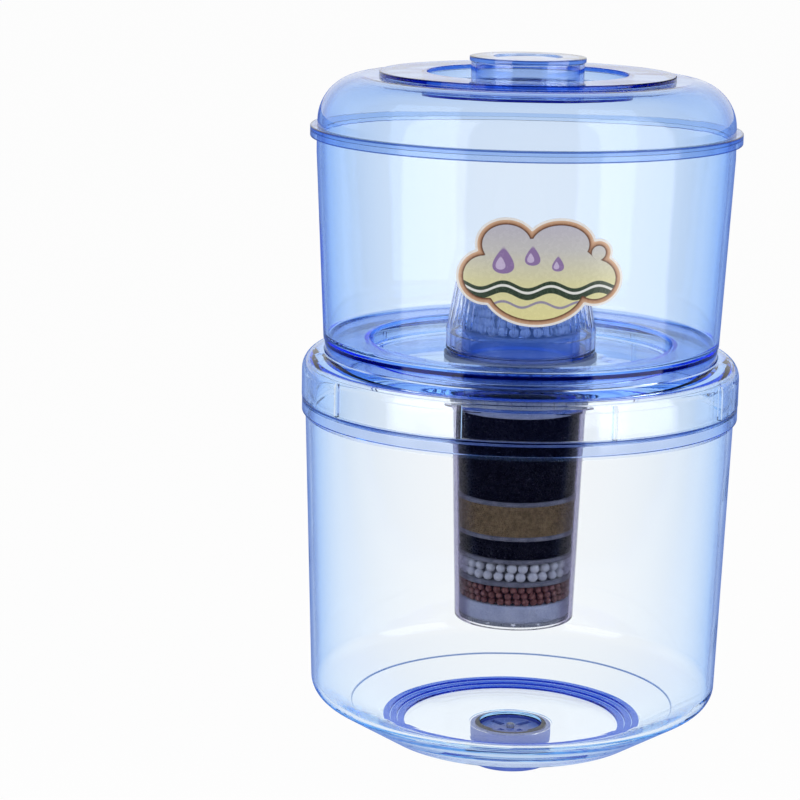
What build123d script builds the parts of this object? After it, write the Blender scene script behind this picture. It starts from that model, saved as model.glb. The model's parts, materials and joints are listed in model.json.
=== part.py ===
"""Two-tank gravity water filter that seats on the collar of a water dispenser.

Millimetres, +Z up. The origin is on the axis, in the plane of the bowl's underside,
where the outlet neck leaves it. The plaque on the upper tank faces -Y.
"""
import os
from math import cos, pi, sin, sqrt

from build123d import *

os.makedirs("parts", exist_ok=True)

# Overall
cover_radius = 130.0    # skirt of the cover, the widest part

# Clearances
thread_gap = 0.3        # between mating threads, drawn as plain cylinders
rib_gap = 0.3           # centring ribs of the cover to the lower tank's rim
rim_headroom = 2.4      # lower tank's rim to the cover above it
foot_gap = 0.6          # upper tank's foot to the cover's lip
well_gap = 0.6          # upper tank's well to the cover's opening
lid_gap = 1.3           # lid's skirt to the upper tank's rim
media_gap = 0.2         # media, pads and grids to the walls round them
guide_gap = 0.2         # valve stem to its guide
touch_gap = 0.05        # round rubber or wire to the flat face it bears on
glue_gap = 0.2          # adhesive behind the plaque

# Lower tank
tank_wall = 2.6
edge_rounding = 0.6     # moulded edges
lower_height = 206.0    # top of the ledge, where the cover rests
ledge_inset = 0.2       # ledge inside the cover's skirt
ledge_band = 8.3        # height of the ledge's outer band
ledge_flare = 2.4       # height of the flare below that band
ledge_step = 2.2        # ledge outside the wall below it
lower_taper = 5.4       # narrowing of the wall down to the bowl's corner
bowl_width = 43.2       # bowl's corner to the edge of its flat underside
bowl_rise = 26.3        # height of the bowl's corner above the seat
bowl_rounding = 12.0
seat_rounding = 1.5
floor_thickness = 3.0
step_count = 3          # steps moulded round the floor, just inside the seat's edge
step_inset = 0.2
step_width = 4.4
step_rise = 1.3
crease_offset = 18.5    # fine step across the inside of the bowl, outside the seat's edge
crease_depth = 0.7
seat_recess = 0.6       # shallow hollow in the seat round the neck
seat_recess_gap = 1.0   # that hollow's edge outside the outlet cap

# Outlet neck, its cap and its valve
neck_radius = 24.5      # outside of the outlet cap, which enters the dispenser
neck_length = 21.4
outlet_wall = 2.5
outlet_floor = 2.4
probe_radius = 6.5      # hole for the dispenser's probe
lip_width = 2.0
lip_height = 2.2
seal_thickness = 2.0
neck_wall = 2.6
cage_flange = 2.0
cage_wall = 2.0
cage_recess = 1.0       # cage's top below the seat plane
cage_plate = 2.0
cage_legs = 4
cage_window = 12.0
flow_slot = 4.0
washer_thickness = 1.3
valve_overlap = 1.5     # valve plate outside the seat lip
valve_thickness = 3.0
valve_stem_radius = 2.4
valve_stem_rise = 2.5   # stem's tip above the cage
spring_wire = 0.9
spring_radius = 5.4     # to the middle of the wire
spring_turns = 4

# Cover between the tanks
cover_wall = 2.6
cover_bend = 11.8       # outer radius of the shoulder
cover_inner_bend = 6.2
skirt_height = 16.0
lip_flat = 0.8          # flat top of the lip round the upper tank's foot
shelf_drop = 3.0        # shelf below the lip's top
rib_count = 9
rib_depth = 2.0
rib_width = 2.6
rib_height = 19.0
rib_first_angle = -105.0  # plan angle of one rib; the front of the object is at -90

# Upper tank
foot_height = 10.5      # shelf to the top of the tank's floor
foot_step = 0.7         # wall outside the foot
upper_taper = 5.3       # widening of the wall up to the rim
upper_height = 133.0    # shelf to the top of the rim
rim_band = 12.0         # straight band below the rim's top
floor_rounding = 4.0
floor_width = 26.8      # foot's outside to the well
well_depth = 11.5
well_rounding = 2.5

# Plaque on the upper tank, a cloud of ovals
label_width = 92.0
label_height = 61.0
label_lobes = (         # middle, half width and half height, as shares of half the plaque
    (-0.40, 0.50, 0.38, 0.50),
    (0.24, 0.51, 0.43, 0.49),
    (-0.65, -0.10, 0.35, 0.52),
    (0.67, -0.13, 0.33, 0.49),
    (0.70, 0.36, 0.17, 0.26),
    (-0.04, -0.30, 0.65, 0.70),
)
label_thickness = 0.5
label_centre = 69.0     # above the shelf
label_shift = 9.4       # towards +X

# Lid
lid_wall = 2.5
lid_skirt_drop = 3.2    # below the upper tank's rim
lid_skirt_rise = 3.3    # above the upper tank's rim
lid_skirt_wall = 2.6
dome_step = 4.1         # dome inside the skirt's outer face
dome_lean = 0.4         # inward lean of the dome's side
dome_height = 30.0      # above the upper tank's rim
dome_rounding = 27.0
crown_width = 25.2      # dome's side to the crown's inner edge
crown_rise = 2.6
crown_rounding = 3.0
groove_width = 10.1     # level ring between the crown and the raised plate
plate_rise = 2.6
plate_width = 27.9      # raised plate round the recess
recess_depth = 7.7
knob_radius = 33.2
knob_height = 17.1      # above the recess floor
knob_wall = 2.6
knob_disc_overhang = 0.9
knob_disc = 3.0
knob_rim = 14.1         # flat top round the dish
knob_dish = 0.8

# Head in the upper tank's well
stem_radius = 37.0
stem_wall = 5.5
cup_inset = 1.7         # ball cup above the stem, inside the stem's outer face
cup_wall = 1.8
cup_height = 39.0       # above the flange
gasket_thickness = 3.0
gasket_overhang = 1.3   # outside the flange
flange_width = 7.2      # outside the stem
flange_thickness = 3.0
upstand_height = 9.0
upstand_wall = 2.6
nut_washer_thickness = 1.4
nut_washer_overhang = 2.5  # outside the nut
nut_height = 15.0
nut_wall = 3.2
nut_flutes = 30
flute_radius = 0.8
ring_room = 3.0         # for the ring seal, between nut and cartridge
stem_engagement = 5.0   # length of the stem inside the cartridge

# Slotted cap over the head
cap_overhang = 0.3      # outside the head's flange
cap_band = 11.7
cap_wall = 2.2
cap_height = 49.0
cap_taper = 7.0         # narrowing from the band to the top
cap_rounding = 5.0
ball_headspace = 3.0    # top of the balls below the cup's rim
slit_count = 60
slit_width = 1.2
slit_margin = 3.5
top_slits = 12
top_slit_width = 1.6
top_slit_hub = 10.0
top_slit_margin = 8.0
grid_lift = 9.0         # inlet grid's seat above the flange
grid_thickness = 2.0
grid_slots = 12
grid_slot_width = 2.4
grid_hub = 9.0
grid_rim = 4.0

# Cartridge
shell_length = 137.1
collar_wall = 2.7       # round the stem
shell_taper = 4.2       # narrowing down to the bottom
shell_wall = 2.4
shell_flange_width = 4.2
shell_flange = 4.0
shell_lip = 2.0
shell_lip_thickness = 1.5
shell_rounding = 1.2
bottom_pad_thickness = 10.6
red_ball_depth = 12.0
white_ball_depth = 11.5
lower_carbon_depth = 11.7
zeolite_depth = 18.6
separator_thickness = 2.5
top_pad_thickness = 3.0

# Levels and radii that follow from the sizes above
ledge_radius = cover_radius - ledge_inset
shoulder_radius = ledge_radius - ledge_step
base_radius = shoulder_radius - lower_taper
seat_radius = base_radius - bowl_width
steps_outer = seat_radius - step_inset
steps_inner = steps_outer - step_count * step_width
crease_radius = seat_radius + crease_offset
cover_inner = cover_radius - cover_wall
cover_lip_inner = cover_radius - cover_bend - lip_flat
foot_radius = cover_lip_inner - foot_gap
well_radius = foot_radius - floor_width
cover_lip_top = lower_height + skirt_height + cover_bend
shelf_top = cover_lip_top - shelf_drop
shelf_bottom = shelf_top - cover_wall
rim_radius = cover_inner - rib_depth - rib_gap
rim_top = shelf_bottom - rim_headroom
upper_base_radius = foot_radius + foot_step
upper_top_radius = upper_base_radius + upper_taper
upper_floor_top = shelf_top + foot_height
upper_rim_top = shelf_top + upper_height
well_floor_top = upper_floor_top - well_depth
well_floor_bottom = well_floor_top - tank_wall
flange_bottom = well_floor_top + gasket_thickness
flange_top = flange_bottom + flange_thickness
stem_hole = stem_radius + thread_gap
flange_radius = stem_radius + flange_width
gasket_radius = flange_radius + gasket_overhang
nut_radius = stem_hole + nut_wall
nut_washer_radius = nut_radius + nut_washer_overhang
shell_top_radius = stem_hole + collar_wall
shell_base_radius = shell_top_radius - shell_taper
shell_flange_radius = shell_top_radius + shell_flange_width
nut_top = well_floor_bottom - nut_washer_thickness
nut_bottom = nut_top - nut_height
shell_top = nut_bottom - ring_room
shell_bottom = shell_top - shell_length
shell_neck = shell_top - shell_flange
stem_bottom = shell_top - stem_engagement
lid_skirt_inner = upper_top_radius + lid_gap
lid_skirt_outer = lid_skirt_inner + lid_skirt_wall
dome_base = lid_skirt_outer - dome_step
dome_side = dome_base - dome_lean
crown_radius = dome_side - crown_width
plate_radius = crown_radius - groove_width
recess_radius = plate_radius - plate_width
crown_top = upper_rim_top + dome_height + crown_rise
plate_top = crown_top + plate_rise
recess_floor = plate_top - recess_depth
cap_radius = flange_radius + cap_overhang
cap_top_radius = cap_radius - cap_taper
cap_inner_radius = cap_radius - cap_wall
cap_band_top = flange_top + cap_band
cap_top = flange_top + cap_height
cup_radius = stem_radius - cup_inset
cup_bore = cup_radius - cup_wall
cup_top = flange_top + cup_height
grid_bottom = flange_top + grid_lift
grid_top = grid_bottom + grid_thickness
outlet_inner_radius = neck_radius - outlet_wall
neck_outer_radius = outlet_inner_radius - thread_gap
neck_bore = neck_outer_radius - neck_wall
outlet_inside = outlet_floor - neck_length
seal_top = outlet_inside + seal_thickness
neck_end = seal_top + cage_flange
valve_radius = probe_radius + lip_width + valve_overlap
valve_seat = outlet_inside + lip_height
valve_bottom = valve_seat + washer_thickness
valve_top = valve_bottom + valve_thickness
cage_plate_bottom = -cage_recess - cage_plate


def turned(*corners):
    """Solid of revolution. A corner is (radius, height) or (radius, height, rounding)."""
    points = [(corner[0], 0, corner[1]) for corner in corners]
    roundings = [corner[2] if len(corner) == 3 else 0 for corner in corners]
    section = FilletPolyline(*points, radius=roundings, close=True)
    return revolve(make_face(section.edges()), Axis.Z)


def ring(inner, outer, bottom, top):
    """Plain ring or, with an inner radius of 0, a disc."""
    return turned((inner, bottom), (outer, bottom), (outer, top), (inner, top))


def around(solid, count, first_angle=0.0):
    """Copies of a solid spread evenly about the axis."""
    return [Rot(0, 0, first_angle + 360 * index / count) * solid for index in range(count)]


def radial_block(inner, outer, width, bottom, top):
    """Straight block that points at the axis along +X."""
    middle = Pos((inner + outer) / 2, 0, (bottom + top) / 2)
    return middle * Box(outer - inner, width, top - bottom)


def on_line(height, low, high):
    """Radius at a height on the straight line between two (radius, height) points."""
    share = (height - low[1]) / (high[1] - low[1])
    return low[0] + share * (high[0] - low[0])


def upper_wall_radius(height):
    """Outside of the upper tank's tapered wall."""
    return on_line(
        height, (upper_base_radius, upper_floor_top), (upper_top_radius, upper_rim_top - rim_band)
    )


def shell_inner_radius(height):
    """Inside of the cartridge's tapered wall."""
    outer = on_line(height, (shell_base_radius, shell_bottom), (shell_top_radius, shell_neck))
    return outer - shell_wall


def cap_cone_radius(height):
    """Inside of the slotted cap's cone."""
    outer = on_line(height, (cap_radius, cap_band_top), (cap_top_radius, cap_top))
    return outer - cap_wall


def make_lower_tank():
    """Clean-water tank: stepped bowl bottom, tapered wall, ledge and rim in one moulding."""
    slope = bowl_rise / bowl_width
    stairs = []
    for index in range(step_count):
        radius = steps_inner + index * step_width
        height = floor_thickness + index * step_rise
        stairs.append((radius, height))
        stairs.append((radius, height + step_rise))
    bowl_start = (steps_outer, floor_thickness + step_count * step_rise)
    inner_base = base_radius - tank_wall
    corner_height = (inner_base - seat_radius) * slope + tank_wall * sqrt(1 + slope ** 2)
    rise = (corner_height - bowl_start[1]) / (inner_base - bowl_start[0])
    crease_height = bowl_start[1] + (crease_radius - bowl_start[0]) * rise
    band_bottom = lower_height - ledge_band
    groove_top = lower_height - tank_wall
    seat_inner = neck_radius + seat_recess_gap
    return turned(
        (neck_bore, seat_recess),
        (seat_inner, seat_recess),
        (seat_inner, 0),
        (seat_radius, 0, seat_rounding),
        (base_radius, bowl_rise, bowl_rounding),
        (shoulder_radius, band_bottom - ledge_flare, edge_rounding),
        (ledge_radius, band_bottom, edge_rounding),
        (ledge_radius, lower_height, edge_rounding),
        (rim_radius, lower_height),
        (rim_radius, rim_top, edge_rounding),
        (rim_radius - tank_wall, rim_top, edge_rounding),
        (rim_radius - tank_wall, groove_top, edge_rounding),
        (ledge_radius - tank_wall, groove_top, edge_rounding),
        (ledge_radius - tank_wall, band_bottom, edge_rounding),
        (shoulder_radius - tank_wall, band_bottom - ledge_flare, edge_rounding),
        (inner_base, corner_height, bowl_rounding - tank_wall),
        (crease_radius, crease_height + crease_depth / 2),
        (crease_radius, crease_height - crease_depth / 2),
        bowl_start,
        *reversed(stairs),
        (neck_bore, floor_thickness),
    )


def make_outlet_neck():
    """Threaded neck welded round the hole in the bowl's floor."""
    return ring(neck_bore, neck_outer_radius, neck_end, seat_recess)


def make_outlet_cap():
    """Cup screwed on the neck, with the probe hole and a raised lip that the valve shuts on."""
    return turned(
        (probe_radius, -neck_length),
        (neck_radius, -neck_length, edge_rounding),
        (neck_radius, 0),
        (outlet_inner_radius, 0),
        (outlet_inner_radius, outlet_inside),
        (probe_radius + lip_width, outlet_inside),
        (probe_radius + lip_width, valve_seat),
        (probe_radius, valve_seat),
    )


def make_outlet_seal():
    """Flat ring squeezed between the outlet cap and the cage's flange."""
    return ring(neck_bore, neck_outer_radius, outlet_inside, seal_top)


def make_valve_cage():
    """Flanged basket inside the neck: legs, spring plate, guide hole and flow slots."""
    outer = neck_bore - thread_gap
    inner = outer - cage_wall
    guide = valve_stem_radius + guide_gap
    basket = turned(
        (inner, seal_top),
        (neck_outer_radius, seal_top),
        (neck_outer_radius, neck_end),
        (outer, neck_end),
        (outer, -cage_recess, edge_rounding),
        (guide, -cage_recess),
        (guide, cage_plate_bottom),
        (inner, cage_plate_bottom, edge_rounding),
    )
    spring_edge = spring_radius + spring_wire
    window = radial_block(spring_edge, neck_bore, cage_window, neck_end, cage_plate_bottom)
    slot = radial_block(spring_edge, inner, flow_slot, cage_plate_bottom, 0)
    return basket - around(window, cage_legs) - around(slot, cage_legs, 180 / cage_legs)


def make_valve_disc():
    """Valve plate with the stem that runs in the cage's guide."""
    tip = valve_stem_rise - cage_recess
    return turned(
        (0, valve_bottom),
        (valve_radius, valve_bottom, edge_rounding),
        (valve_radius, valve_top, edge_rounding),
        (valve_stem_radius, valve_top, edge_rounding),
        (valve_stem_radius, tip, edge_rounding),
        (0, tip),
    )


def make_valve_washer():
    """Rubber face under the valve plate, over the seat lip."""
    return ring(probe_radius + thread_gap, valve_radius - edge_rounding, valve_seat, valve_bottom)


def biarc(start, start_way, end, end_way):
    """Two tangent arcs that leave start along start_way and arrive at end along end_way."""
    chord = end - start
    along = chord.dot(start_way + end_way)
    spread = 2 * (1 - start_way.dot(end_way))
    reach = (sqrt(along ** 2 + spread * chord.dot(chord)) - along) / spread
    middle = (start + start_way * reach + end - end_way * reach) / 2
    first = Edge.make_tangent_arc(start, start_way, middle)
    return [first, Edge.make_tangent_arc(middle, first % 1, end)]


def make_valve_spring():
    """Open coil between the valve plate and the cage, one unbroken wire."""
    bottom = valve_top + touch_gap + spring_wire / 2
    top = cage_plate_bottom - touch_gap - spring_wire / 2
    pitch = (top - bottom) / spring_turns
    samples_per_turn = 48

    def point(turns):
        angle = 2 * pi * turns
        return Vector(spring_radius * cos(angle), spring_radius * sin(angle), bottom + pitch * turns)

    def way(turns):
        angle = 2 * pi * turns
        slope = pitch / (2 * pi * spring_radius)
        return Vector(-sin(angle), cos(angle), slope).normalized()

    arcs = []
    for quarter in range(4 * spring_turns):
        start = quarter / 4
        end = start + 1 / 4
        arcs += biarc(point(start), way(start), point(end), way(end))
    path = Wire(arcs)
    sample_count = samples_per_turn * spring_turns
    samples = [path @ (index / sample_count) for index in range(sample_count + 1)]
    least = min(
        (one - other).length
        for index, one in enumerate(samples)
        for other in samples[index + samples_per_turn // 2:]
    )
    print("valve spring, least gap between turns: %.2f mm" % (least - spring_wire))
    return sweep(Plane(origin=point(0), z_dir=way(0)) * Circle(spring_wire / 2), path)


def make_tank_cover():
    """Skirted ring that closes the lower tank and carries the upper tank on its shelf."""
    opening = well_radius + tank_wall + well_gap
    shell = turned(
        (cover_inner, lower_height),
        (cover_radius, lower_height, edge_rounding),
        (cover_radius, cover_lip_top, cover_bend),
        (cover_lip_inner, cover_lip_top),
        (cover_lip_inner, shelf_top),
        (opening, shelf_top, edge_rounding),
        (opening, shelf_bottom, edge_rounding),
        (cover_inner, shelf_bottom, cover_inner_bend),
    )
    rib = radial_block(
        cover_inner - rib_depth, cover_inner + cover_wall / 2, rib_width, lower_height,
        lower_height + rib_height,
    )
    return shell + around(rib, rib_count, rib_first_angle)


def make_upper_tank():
    """Raw-water tank: foot ring, floor with a sunken well, tapered wall and rim."""
    rim_bottom = upper_rim_top - rim_band
    floor_bottom = upper_floor_top - tank_wall
    foot_inner = foot_radius - tank_wall
    return turned(
        (foot_inner, shelf_top, edge_rounding),
        (foot_radius, shelf_top, edge_rounding),
        (foot_radius, upper_floor_top - foot_step),
        (upper_base_radius, upper_floor_top),
        (upper_top_radius, rim_bottom),
        (upper_top_radius, upper_rim_top, edge_rounding),
        (upper_top_radius - tank_wall, upper_rim_top, edge_rounding),
        (upper_top_radius - tank_wall, rim_bottom),
        (upper_base_radius - tank_wall, upper_floor_top, floor_rounding),
        (well_radius, upper_floor_top, edge_rounding),
        (well_radius, well_floor_top, well_rounding),
        (stem_hole, well_floor_top),
        (stem_hole, well_floor_bottom),
        (well_radius + tank_wall, well_floor_bottom, well_rounding),
        (well_radius + tank_wall, floor_bottom, edge_rounding),
        (foot_inner, floor_bottom, edge_rounding),
    )


def make_front_label():
    """Thin cloud-shaped plaque stuck round the front of the upper tank's wall."""
    middle = shelf_top + label_centre
    cloud = Sketch()
    for across, up, half_width, half_height in label_lobes:
        lobe = Ellipse(half_width * label_width / 2, half_height * label_height / 2)
        cloud += Pos(across * label_width / 2, up * label_height / 2) * lobe
    prism = extrude(Plane.XZ * Pos(label_shift, middle) * cloud, upper_top_radius + label_width)
    low = middle - label_height
    high = min(middle + label_height, upper_rim_top - rim_band)
    inside_low = upper_wall_radius(low) + glue_gap
    inside_high = upper_wall_radius(high) + glue_gap
    sheet = turned(
        (inside_low, low),
        (inside_low + label_thickness, low),
        (inside_high + label_thickness, high),
        (inside_high, high),
    )
    return sheet & prism


def make_lid_shell():
    """Domed lid: skirt outside the rim, round shoulder, raised plate and finger recess."""
    skirt_top = upper_rim_top + lid_skirt_rise
    dome_top = upper_rim_top + dome_height
    plate_bottom = plate_top - lid_wall
    recess_bottom = recess_floor - lid_wall
    return turned(
        (lid_skirt_inner, upper_rim_top - lid_skirt_drop),
        (lid_skirt_outer, upper_rim_top - lid_skirt_drop, edge_rounding),
        (lid_skirt_outer, skirt_top, edge_rounding),
        (dome_base, skirt_top),
        (dome_side, dome_top, dome_rounding),
        (crown_radius, crown_top, crown_rounding),
        (plate_radius, crown_top),
        (plate_radius, plate_top, edge_rounding),
        (recess_radius, plate_top, edge_rounding),
        (recess_radius, recess_floor, edge_rounding),
        (0, recess_floor),
        (0, recess_bottom),
        (recess_radius + lid_wall, recess_bottom, edge_rounding),
        (recess_radius + lid_wall, plate_bottom, edge_rounding),
        (plate_radius - lid_wall, plate_bottom, edge_rounding),
        (plate_radius - lid_wall, crown_top - lid_wall),
        (crown_radius, crown_top - lid_wall),
        (dome_side - lid_wall, dome_top - lid_wall, dome_rounding - lid_wall),
        (dome_base - lid_wall, upper_rim_top),
        (lid_skirt_inner, upper_rim_top),
    )


def make_lid_knob():
    """Hollow knob on the recess floor, with an overhanging dished top."""
    top = recess_floor + knob_height
    disc_radius = knob_radius + knob_disc_overhang
    dish_radius = disc_radius - knob_rim
    return turned(
        (knob_radius - knob_wall, recess_floor),
        (knob_radius, recess_floor),
        (knob_radius, top - knob_disc),
        (disc_radius, top - knob_disc, edge_rounding),
        (disc_radius, top, edge_rounding),
        (dish_radius, top, edge_rounding),
        (dish_radius, top - knob_dish, edge_rounding),
        (0, top - knob_dish),
        (0, top - knob_disc),
        (knob_radius - knob_wall, top - knob_disc, edge_rounding),
    )


def make_head_stem():
    """Flanged tube through the well floor, with the ball cup on top and an upstand for the slotted cap."""
    bore = stem_radius - stem_wall
    upstand_radius = cap_inner_radius - thread_gap
    upstand_top = flange_top + upstand_height
    return turned(
        (bore, stem_bottom),
        (stem_radius, stem_bottom),
        (stem_radius, flange_bottom),
        (flange_radius, flange_bottom, edge_rounding),
        (flange_radius, flange_top),
        (upstand_radius, flange_top),
        (upstand_radius, upstand_top),
        (upstand_radius - upstand_wall, upstand_top),
        (upstand_radius - upstand_wall, flange_top),
        (cup_radius, flange_top),
        (cup_radius, cup_top, edge_rounding),
        (cup_bore, cup_top, edge_rounding),
        (cup_bore, grid_bottom),
        (bore, grid_bottom),
    )


def make_head_gasket():
    """Rubber ring between the head's flange and the well floor."""
    return ring(stem_hole, gasket_radius, well_floor_top, flange_bottom)


def make_nut_washer():
    """Flat washer against the underside of the well floor."""
    return ring(stem_hole, nut_washer_radius, nut_top, well_floor_bottom)


def make_lock_nut():
    """Ring nut with flutes for the fingers."""
    flute = Pos(nut_radius, 0, (nut_bottom + nut_top) / 2) * Cylinder(flute_radius, nut_height)
    return ring(stem_hole, nut_radius, nut_bottom, nut_top) - around(flute, nut_flutes)


def make_inlet_cap():
    """Tapered cap with upright slits round its cone and radial slits in its top."""
    inside_top = cap_top - cap_wall
    cone_top = cap_cone_radius(inside_top)
    shell = turned(
        (cap_inner_radius, flange_top),
        (cap_radius, flange_top),
        (cap_radius, cap_band_top, edge_rounding),
        (cap_top_radius, cap_top, cap_rounding),
        (0, cap_top),
        (0, inside_top),
        (cone_top, inside_top, cap_rounding - cap_wall),
        (cap_inner_radius, cap_band_top),
    )
    slit_top = cap_top - cap_rounding - slit_margin
    slit_bottom = cap_band_top + slit_margin
    slit = radial_block(cap_cone_radius(slit_top) - cap_wall, cap_radius, slit_width, slit_bottom, slit_top)
    top_slit = radial_block(
        top_slit_hub, cap_top_radius - top_slit_margin, top_slit_width, inside_top - cap_wall, cap_top
    )
    return shell - around(slit, slit_count) - around(top_slit, top_slits)


def grid(radius, bottom):
    """Strainer disc with slots between its hub and its rim."""
    slot = radial_block(grid_hub, radius - grid_rim, grid_slot_width, bottom, bottom + grid_thickness)
    return ring(0, radius, bottom, bottom + grid_thickness) - around(slot, grid_slots)


def make_inlet_grid():
    """Strainer on the step in the bottom of the head's ball cup."""
    return grid(cup_bore - media_gap, grid_bottom)


def make_inlet_balls():
    """Bed of mineral balls in the head's cup, as one plain solid."""
    return ring(0, cup_bore - media_gap, grid_top, cup_top - ball_headspace)


def make_cartridge_shell():
    """Clear tapered cup with a flange, a threaded collar and a lip under the outlet grid."""
    floor = shell_bottom + shell_lip_thickness
    return turned(
        (shell_inner_radius(floor) - shell_lip, shell_bottom),
        (shell_base_radius, shell_bottom, shell_rounding),
        (shell_top_radius, shell_neck),
        (shell_flange_radius, shell_neck, edge_rounding),
        (shell_flange_radius, shell_top, edge_rounding),
        (stem_hole, shell_top),
        (stem_hole, stem_bottom),
        (shell_inner_radius(stem_bottom), stem_bottom),
        (shell_inner_radius(floor), floor),
        (shell_inner_radius(floor) - shell_lip, floor),
    )


def make_shell_o_ring():
    """Round ring seal between the cartridge's flange and the nut."""
    wire = ring_room / 2 - touch_gap
    return Pos(0, 0, shell_top + ring_room / 2) * Torus(stem_hole + wire, wire)


def make_outlet_grid():
    """Slotted disc on the lip in the bottom of the cartridge."""
    bottom = shell_bottom + shell_lip_thickness
    return grid(shell_inner_radius(bottom) - media_gap, bottom)


def layer(bottom, top):
    """One bed or pad that fills the cartridge between two levels."""
    return turned(
        (0, bottom),
        (shell_inner_radius(bottom) - media_gap, bottom),
        (shell_inner_radius(top) - media_gap, top),
        (0, top),
    )


def save_media():
    """Stack the beds and pads on the outlet grid; the upper carbon fills what is left."""
    level = shell_bottom + shell_lip_thickness + grid_thickness
    stack = [
        ("bottom_pad", bottom_pad_thickness),
        ("red_ball_bed", red_ball_depth),
        ("separator_4", separator_thickness),
        ("white_ball_bed", white_ball_depth),
        ("separator_3", separator_thickness),
        ("carbon_bed_lower", lower_carbon_depth),
        ("separator_2", separator_thickness),
        ("zeolite_bed", zeolite_depth),
        ("separator_1", separator_thickness),
    ]
    for name, depth in stack:
        save(name, layer(level, level + depth))
        level += depth
    pad_top = stem_bottom - media_gap
    pad_bottom = pad_top - top_pad_thickness
    save("carbon_bed_upper", layer(level, pad_bottom))
    save("top_pad", layer(pad_bottom, pad_top))


def save(name, solid):
    """Write one piece as its own file."""
    export_step(solid, os.path.join("parts", name + ".step"))


save("lower_tank", make_lower_tank())
save("outlet_neck", make_outlet_neck())
save("outlet_cap", make_outlet_cap())
save("outlet_seal", make_outlet_seal())
save("valve_cage", make_valve_cage())
save("valve_disc", make_valve_disc())
save("valve_washer", make_valve_washer())
save("valve_spring", make_valve_spring())
save("tank_cover", make_tank_cover())
save("upper_tank", make_upper_tank())
save("front_label", make_front_label())
save("lid_shell", make_lid_shell())
save("lid_knob", make_lid_knob())
save("head_stem", make_head_stem())
save("head_gasket", make_head_gasket())
save("nut_washer", make_nut_washer())
save("lock_nut", make_lock_nut())
save("inlet_cap", make_inlet_cap())
save("inlet_grid", make_inlet_grid())
save("inlet_balls", make_inlet_balls())
save("cartridge_shell", make_cartridge_shell())
save("shell_o_ring", make_shell_o_ring())
save("outlet_grid", make_outlet_grid())
save_media()
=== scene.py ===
# %% [markdown]
# # A clear two-tank water filter
# The solids of the filter come in as a fixed frame: two tanks, a cover, a lid, a head with its cap, a
# hanging cartridge and an outlet valve. This file gives each of them its finish, and makes the pieces that
# a plain solid can't show: balls, granules, felt and sponge. One could model everything again in Blender,
# but the turned shells are already smooth and at their real size, so they stay and only get a material.

import itertools
import json
import math
import random

import bmesh
import bpy
from mathutils import Matrix, Vector

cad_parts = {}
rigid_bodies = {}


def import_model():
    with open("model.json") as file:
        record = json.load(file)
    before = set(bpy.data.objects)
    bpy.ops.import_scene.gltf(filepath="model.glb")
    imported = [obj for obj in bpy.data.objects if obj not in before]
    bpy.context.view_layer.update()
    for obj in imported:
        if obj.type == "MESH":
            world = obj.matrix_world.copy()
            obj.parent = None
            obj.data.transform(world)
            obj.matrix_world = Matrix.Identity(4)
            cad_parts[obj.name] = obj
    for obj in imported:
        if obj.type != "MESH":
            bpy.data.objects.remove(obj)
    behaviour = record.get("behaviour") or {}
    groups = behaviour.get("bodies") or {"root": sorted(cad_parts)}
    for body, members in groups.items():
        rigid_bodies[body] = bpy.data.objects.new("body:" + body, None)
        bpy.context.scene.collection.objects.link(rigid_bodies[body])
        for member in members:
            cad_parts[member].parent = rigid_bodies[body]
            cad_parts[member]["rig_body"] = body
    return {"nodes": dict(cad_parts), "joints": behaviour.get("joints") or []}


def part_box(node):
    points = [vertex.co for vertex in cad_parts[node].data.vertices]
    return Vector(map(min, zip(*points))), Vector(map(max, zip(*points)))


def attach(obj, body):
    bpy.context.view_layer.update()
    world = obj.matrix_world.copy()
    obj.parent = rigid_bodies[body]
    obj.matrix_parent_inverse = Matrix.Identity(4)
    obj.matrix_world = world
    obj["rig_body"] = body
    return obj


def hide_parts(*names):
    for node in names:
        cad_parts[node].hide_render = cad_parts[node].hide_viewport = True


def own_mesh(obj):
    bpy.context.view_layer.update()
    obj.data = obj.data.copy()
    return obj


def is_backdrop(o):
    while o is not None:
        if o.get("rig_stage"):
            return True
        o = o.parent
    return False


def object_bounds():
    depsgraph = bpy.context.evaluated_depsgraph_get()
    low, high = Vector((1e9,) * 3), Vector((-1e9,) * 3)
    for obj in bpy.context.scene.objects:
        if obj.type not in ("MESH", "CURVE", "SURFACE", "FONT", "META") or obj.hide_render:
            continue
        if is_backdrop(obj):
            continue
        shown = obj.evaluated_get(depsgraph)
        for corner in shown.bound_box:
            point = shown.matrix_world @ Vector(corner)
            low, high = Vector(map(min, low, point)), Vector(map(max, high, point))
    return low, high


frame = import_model()
solids = frame["nodes"]
cad_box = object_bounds()
stage = bpy.context.scene
print("solids", len(solids), "box", [tuple(round(v, 4) for v in corner) for corner in cad_box])

# %% [markdown]
# ## Shader sums written as Python
# A finish is a small net of nodes. Wiring it by hand hides the sums in it, so one class wraps an output
# socket and turns Python's operators into Math nodes, and another adds any other node by its type.

# %% Socket sums


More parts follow.
